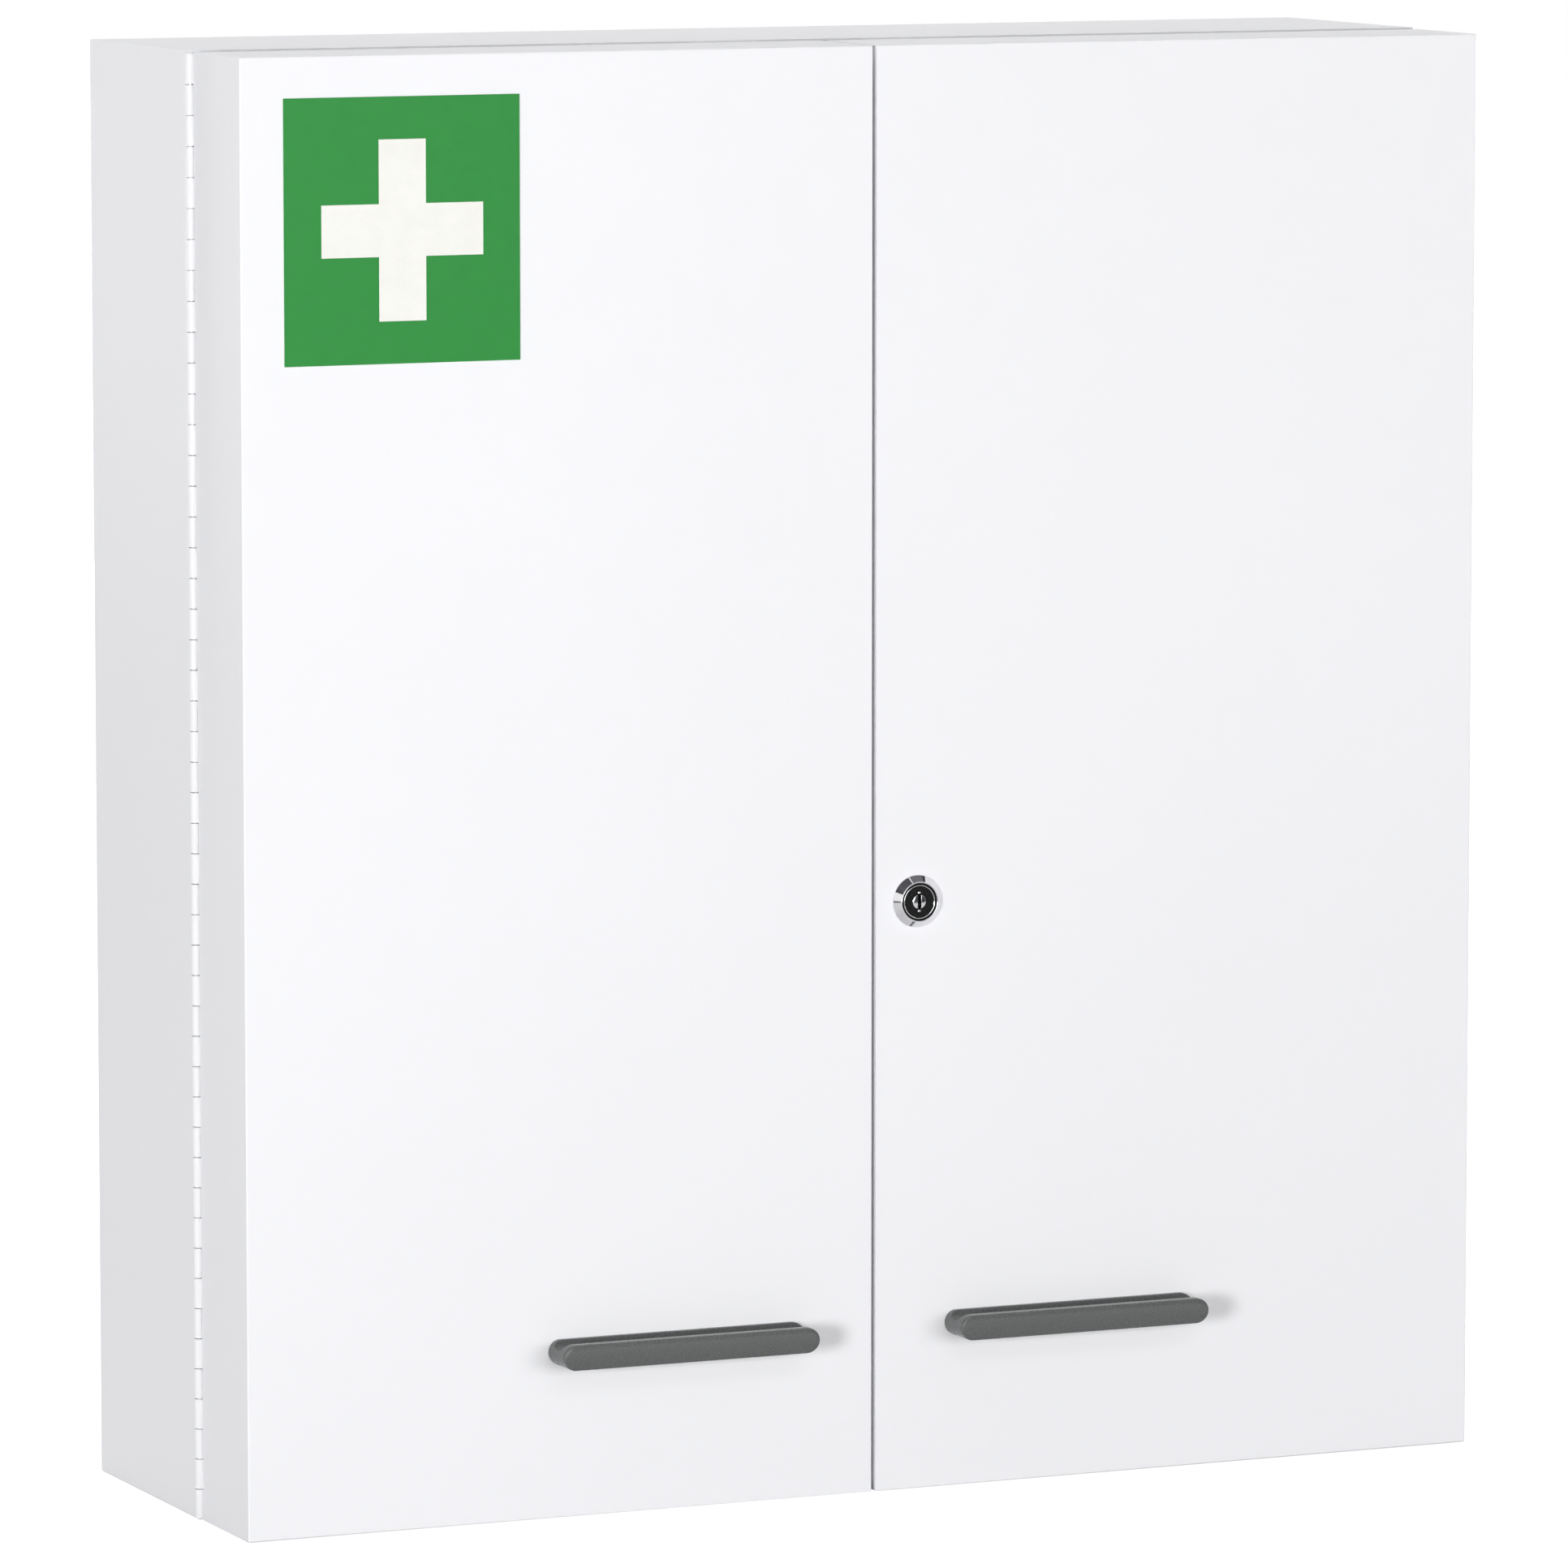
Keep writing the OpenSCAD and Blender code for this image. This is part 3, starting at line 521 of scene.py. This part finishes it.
# outlines as (radius, depth)
HOUSING = [
    # barrel
    (BORE_R, BARREL_REAR), (9.3, BARREL_REAR), (BARREL_R, 19.9), (BARREL_R, 0.02),
    # collar's rim and conical flank
    (11.55, 0.02), (11.7, -0.1), (COLLAR_R, -0.28), (11.74, -0.5), (11.7, -0.66), (9.14, -3.05),
    # rolled front edge
    (9.03, -3.28), (8.94, -3.43), (8.82, COLLAR_FRONT), (8.7, COLLAR_FRONT), (8.58, -3.44),
    # stepped recess
    (RECESS_R, -3.3), (RECESS_R, RECESS_FLOOR), (8.05, RECESS_FLOOR), (BORE_R, -2.15),
]
# a black ring that lies in the recess between collar and plug: painted shade of the recess
RECESS_SHADE_RING = [(7.86, -2.28), (8.47, -2.28), (8.47, -2.62), (8.4, -2.7), (7.95, -2.7), (7.86, -2.6)]
PLUG = [
    (0, PLUG_REAR), (PLUG_STEP_R, PLUG_REAR), (PLUG_STEP_R, PLUG_STEP), (PLUG_R, PLUG_STEP),
    # rounded rim
    (PLUG_R, -2.9), (7.66, -3.05), (7.58, -3.16), (7.45, -3.2), (7.32, -3.17), (7.22, -3.08),
    (RING_R, -2.95),
    # sunk ring for the black face
    (RING_R, RING_FLOOR), (CORE_R, RING_FLOOR),
    # low domed core
    (CORE_R, -2.76), (3.14, -2.85), (3.0, -2.91), (2.5, -2.97), (1.8, -3.03), (1.0, -3.07),
    (0.5, -3.08), (0, -3.085),
]
FACE = [
    (3.24, -2.02), (7.17, -2.02),
    # slightly dished front
    (7.17, -2.82), (7.08, -2.9), (5.2, -2.84), (3.4, -2.9), (3.24, -2.84),
]


def in_lock(x, y, z):
    """A place given in mm from the lock's axis and the door's front."""
    return (LOCK.x + x * MM, DOOR_FRONT + y * MM, LOCK.z + z * MM)


def turned(outline, closed):
    """Solid of revolution about the lock's axis.

    A closed outline runs round the section of a ring. One that isn't closed runs from one end of
    the axis to the other.
    """
    bm = bmesh.new()
    rows = []
    for r, y in outline:
        angles = [2 * math.pi * i / ROUND for i in range(ROUND)] if r else [0]
        rows.append([bm.verts.new(in_lock(r * math.cos(a), y, r * math.sin(a))) for a in angles])
    following = rows[1:] + rows[:1] if closed else rows[1:]
    for a, b in zip(rows, following):
        for i in range(ROUND):
            j = (i + 1) % ROUND
            if len(a) == 1:
                bm.faces.new((a[0], b[j], b[i]))
            elif len(b) == 1:
                bm.faces.new((a[i], a[j], b[0]))
            else:
                bm.faces.new((a[i], a[j], b[j], b[i]))
    bmesh.ops.recalc_face_normals(bm, faces=bm.faces)
    return bm


def box_mesh(low, high):
    """A box between two corners."""
    bm = bmesh.new()
    bmesh.ops.create_cube(bm, size=1)
    for v in bm.verts:
        v.co = Vector([low[k] + (v.co[k] + 0.5) * (high[k] - low[k]) for k in range(3)])
    return plain_mesh(bm)


def lock_plug(keyway):
    """Plug with a square tail, and two small round guides for the key in the keyway's ends."""
    tail = box_mesh(
        in_lock(-TAIL_HALF, TAIL_FROM, -TAIL_HALF), in_lock(TAIL_HALF, TAIL_TO, TAIL_HALF)
    )
    plug = combined(plain_mesh(turned(PLUG, closed=False)), "UNION", [tail])
    plug = with_whole_faces(combined(plug, "DIFFERENCE", [keyway]))
    ease_edges(plug, PLUG_EDGE * MM, least=40)
    size = Matrix.Diagonal((*(s * MM for s in GUIDE_HALF_SIZES), 1))
    for end in (-1, 1):
        place = Matrix.Translation(in_lock(0, GUIDE_DEPTH, end * GUIDE_HEIGHT))
        bmesh.ops.create_uvsphere(
            plug, u_segments=24, v_segments=16, radius=1, matrix=place @ size
        )
    put("lock_plug_look", plug, "lock_chrome", "lock_cylinder", ["lock_plug"])


def lock_face(keyway):
    """Black face ring, with the keyway's ends cut through it."""
    face = combined(plain_mesh(turned(FACE, closed=True)), "DIFFERENCE", [keyway])
    face = ease_edges(with_whole_faces(face), FACE_EDGE * MM, least=50)
    put("lock_face_look", face, "black_plastic", "lock_cylinder", ["lock_face"])


# collar and barrel, and a black ring in the recess between collar and plug, which is painted shade
# of the recess
housing, recess_shade = turned(HOUSING, closed=True), turned(RECESS_SHADE_RING, closed=True)
put("lock_collar_look", housing, "lock_chrome", "right_door", ["lock_housing"])
put("lock_recess_shade_look", recess_shade, "black_plastic", "right_door", ["lock_housing"])
keyway_cut = box_mesh(
    in_lock(-KEYWAY_HALF_W, KEYWAY_FROM, -KEYWAY_HALF_H),
    in_lock(KEYWAY_HALF_W, KEYWAY_TO, KEYWAY_HALF_H),
)
lock_plug(keyway_cut)
lock_face(keyway_cut)


# ---- CAD nodes that show as they are ----

for node, o in frame["nodes"].items():
    if not o.hide_render:
        o.data.materials.clear()
        o.data.materials.append(FINISH[SLOT_OF[node]])


# ---- Camera ----

# place, angles and lens come from fitting the cabinet's corners to the photograph
CAMERA_PLACE = (-1.8127, -4.1932, 0.5149)
YAW, PITCH = math.radians(23.838), math.radians(6.738)
LENS, SENSOR = 227.82, 36

camera = bpy.data.objects.new("camera", bpy.data.cameras.new("camera"))
camera.data.sensor_width = SENSOR
camera.data.lens = LENS
camera.data.clip_start, camera.data.clip_end = 0.1, 60
camera.location = CAMERA_PLACE
ahead = (math.sin(YAW) * math.cos(PITCH), math.cos(YAW) * math.cos(PITCH), -math.sin(PITCH))
camera.rotation_mode = "QUATERNION"
camera.rotation_quaternion = Vector(ahead).to_track_quat("-Z", "Y")
scene.collection.objects.link(camera)
bpy.context.scene.camera = camera


# ---- Light ----

AMBIENT, AMBIENT_COLOUR = 0.22, (0.97, 0.98, 1.0)
# name: place, target, size, watts
LAMPS = {
    "key": ((-3.0, -2.8, 0.12), (0, -0.1, 0), (0.8, 0.8), 81),
    "front": ((0.9, -4.4, 0.35), (0, -0.1, 0), (4.0, 1.3), 81),
    "strip": ((-0.3, -3.0, 1.7), (0, -0.2, 0), (1.6, 0.45), 6),
    "side": ((-4.0, 0.9, 0.35), (-0.3, -0.1, 0), (1.5, 1.3), 24),
    "side_right": ((4.0, 0.9, 0.35), (0.3, -0.1, 0), (1.5, 1.3), 64),
    "rear": ((0.4, 4.2, 0.0), (0, 0, 0), (2.6, 0.5), 46),
    "top": ((0.0, 1.4, 3.0), (0, -0.05, 0.3), (2.2, 1.8), 66),
}


def area_light(name, place, target, size, watts):
    """A rectangular lamp that faces its target."""
    lamp = bpy.data.lights.new(name, "AREA")
    lamp.shape, lamp.size, lamp.size_y = "RECTANGLE", *size
    lamp.energy = watts
    o = bpy.data.objects.new(name, lamp)
    o.location = place
    o.rotation_mode = "QUATERNION"
    o.rotation_quaternion = (Vector(target) - Vector(place)).to_track_quat("-Z", "Y")
    scene.collection.objects.link(o)


def math_node(tree, operation, *values):
    """The result of a math node whose inputs are sockets or plain numbers."""
    node = tree.nodes.new("ShaderNodeMath")
    node.operation = operation
    for socket, value in zip(node.inputs, values):
        if isinstance(value, bpy.types.NodeSocket):
            tree.links.new(value, socket)
        else:
            socket.default_value = value
    return node.outputs[0]


def studio_world():
    """Dim ambient light, but plain white for the camera, in mirrors and through glass."""
    world = bpy.data.worlds.new("studio")
    world.use_nodes = True
    tree = world.node_tree
    ambient = tree.nodes["Background"]
    ambient.inputs["Color"].default_value = (*AMBIENT_COLOUR, 1)
    ambient.inputs["Strength"].default_value = AMBIENT
    plain = tree.nodes.new("ShaderNodeBackground")
    plain.inputs["Color"].default_value = (1, 1, 1, 1)
    plain.inputs["Strength"].default_value = 1.0
    ray = tree.nodes.new("ShaderNodeLightPath").outputs
    seen = math_node(tree, "MAXIMUM", ray["Is Camera Ray"], ray["Is Glossy Ray"])
    seen = math_node(tree, "MAXIMUM", seen, ray["Is Transmission Ray"])
    mix = tree.nodes.new("ShaderNodeMixShader")
    tree.links.new(seen, mix.inputs["Fac"])
    tree.links.new(ambient.outputs[0], mix.inputs[1])
    tree.links.new(plain.outputs[0], mix.inputs[2])
    tree.links.new(mix.outputs[0], tree.nodes["World Output"].inputs["Surface"])
    return world


scene.world = studio_world()
for name, (place, target, size, watts) in LAMPS.items():
    area_light(name, place, target, size, watts)


# ---- Screens and floor ----

CEILING_Z, CEILING_REAR = 2.2, 1.5
# name: left, right, front, colour, rays that see it
CEILING = {
    "ceiling_left": (-4.6, -0.06, -2.8, (0.1, 0.1, 0.11), ("diffuse", "glossy")),
    "ceiling_middle": (0.06, 1.7, -2.6, (0.22, 0.22, 0.23), ("diffuse", "glossy")),
    "ceiling_right": (1.7, 2.2, -2.6, (0.05, 0.05, 0.06), ("glossy",)),
}
FLOOR_RADIUS, FLOOR_SEGMENTS, FLOOR_DROP = 12, 96, 0.2 * MM
FLOOR_COLOUR = (0.42, 0.42, 0.425)
# the floor's own glow, for the camera and in mirrors, on top of the light that falls on it
GLOW_TO_CAMERA, GLOW_TO_MIRRORS = 0.95, 0.42


def matt(name, colour, roughness):
    """A material without gloss."""
    material = bpy.data.materials.new(name)
    material.use_nodes = True
    shader = material.node_tree.nodes["Principled BSDF"]
    shader.inputs["Base Color"].default_value = (*colour, 1)
    shader.inputs["Roughness"].default_value = roughness
    shader.inputs["Specular IOR Level"].default_value = 0.0
    return material


def screen(name, corners, colour, rays):
    """A flat dark studio screen that only these kinds of ray see."""
    bm = bmesh.new()
    bm.faces.new([bm.verts.new(c) for c in corners])
    mesh = bpy.data.meshes.new(name)
    bm.to_mesh(mesh)
    bm.free()
    flat = bpy.data.objects.new(name, mesh)
    for ray in ("camera", "diffuse", "glossy", "transmission", "volume_scatter", "shadow"):
        setattr(flat, "visible_" + ray, ray in rays)
    scene.collection.objects.link(flat)
    mesh.materials.append(matt(name, colour, roughness=0.95))


def floor_material():
    """Matt pale floor that the camera and mirrors see as nearly white."""
    material = matt("floor", FLOOR_COLOUR, roughness=0.9)
    tree = material.node_tree
    ray = tree.nodes.new("ShaderNodeLightPath").outputs
    to_camera = math_node(tree, "MULTIPLY", ray["Is Camera Ray"], GLOW_TO_CAMERA)
    strength = math_node(
        tree, "MULTIPLY_ADD", ray["Is Glossy Ray"], GLOW_TO_MIRRORS, to_camera
    )
    glow = tree.nodes.new("ShaderNodeEmission")
    glow.inputs["Color"].default_value = (1, 1, 1, 1)
    tree.links.new(strength, glow.inputs["Strength"])
    both = tree.nodes.new("ShaderNodeAddShader")
    tree.links.new(tree.nodes["Principled BSDF"].outputs[0], both.inputs[0])
    tree.links.new(glow.outputs[0], both.inputs[1])
    tree.links.new(both.outputs[0], tree.nodes["Material Output"].inputs["Surface"])
    return material


def add_floor():
    """A round pale floor just below the object."""
    bm = bmesh.new()
    bmesh.ops.create_circle(bm, cap_ends=True, segments=FLOOR_SEGMENTS, radius=FLOOR_RADIUS)
    mesh = bpy.data.meshes.new("floor")
    bm.to_mesh(mesh)
    bm.free()
    mesh.materials.append(floor_material())
    floor = bpy.data.objects.new("floor", mesh)
    floor.location = (0, 0, cad_box[0].z - FLOOR_DROP)
    scene.collection.objects.link(floor)


# the chromed lock and the handles mirror these; those that diffuse rays see also dim the light
# from above
for name, (left, right, front, colour, rays) in CEILING.items():
    corners = [(left, front), (right, front), (right, CEILING_REAR), (left, CEILING_REAR)]
    screen(name, [(x, y, CEILING_Z) for x, y in corners], colour, rays)
screen(
    "room_front", [(0.2, -1.8, -0.32), (2.2, -1.2, -0.32), (2.6, -2.0, 1.0), (0.3, -2.7, 1.0)],
    (0.05, 0.05, 0.055), ("glossy",),
)
screen(
    "room_left",
    [(-2.05, -0.7, -0.32), (-1.65, -1.4, -0.32), (-1.65, -1.4, -0.2), (-2.05, -0.7, -0.2)],
    (0.08, 0.08, 0.085), ("glossy",),
)
add_floor()

scene.view_settings.view_transform = "Standard"
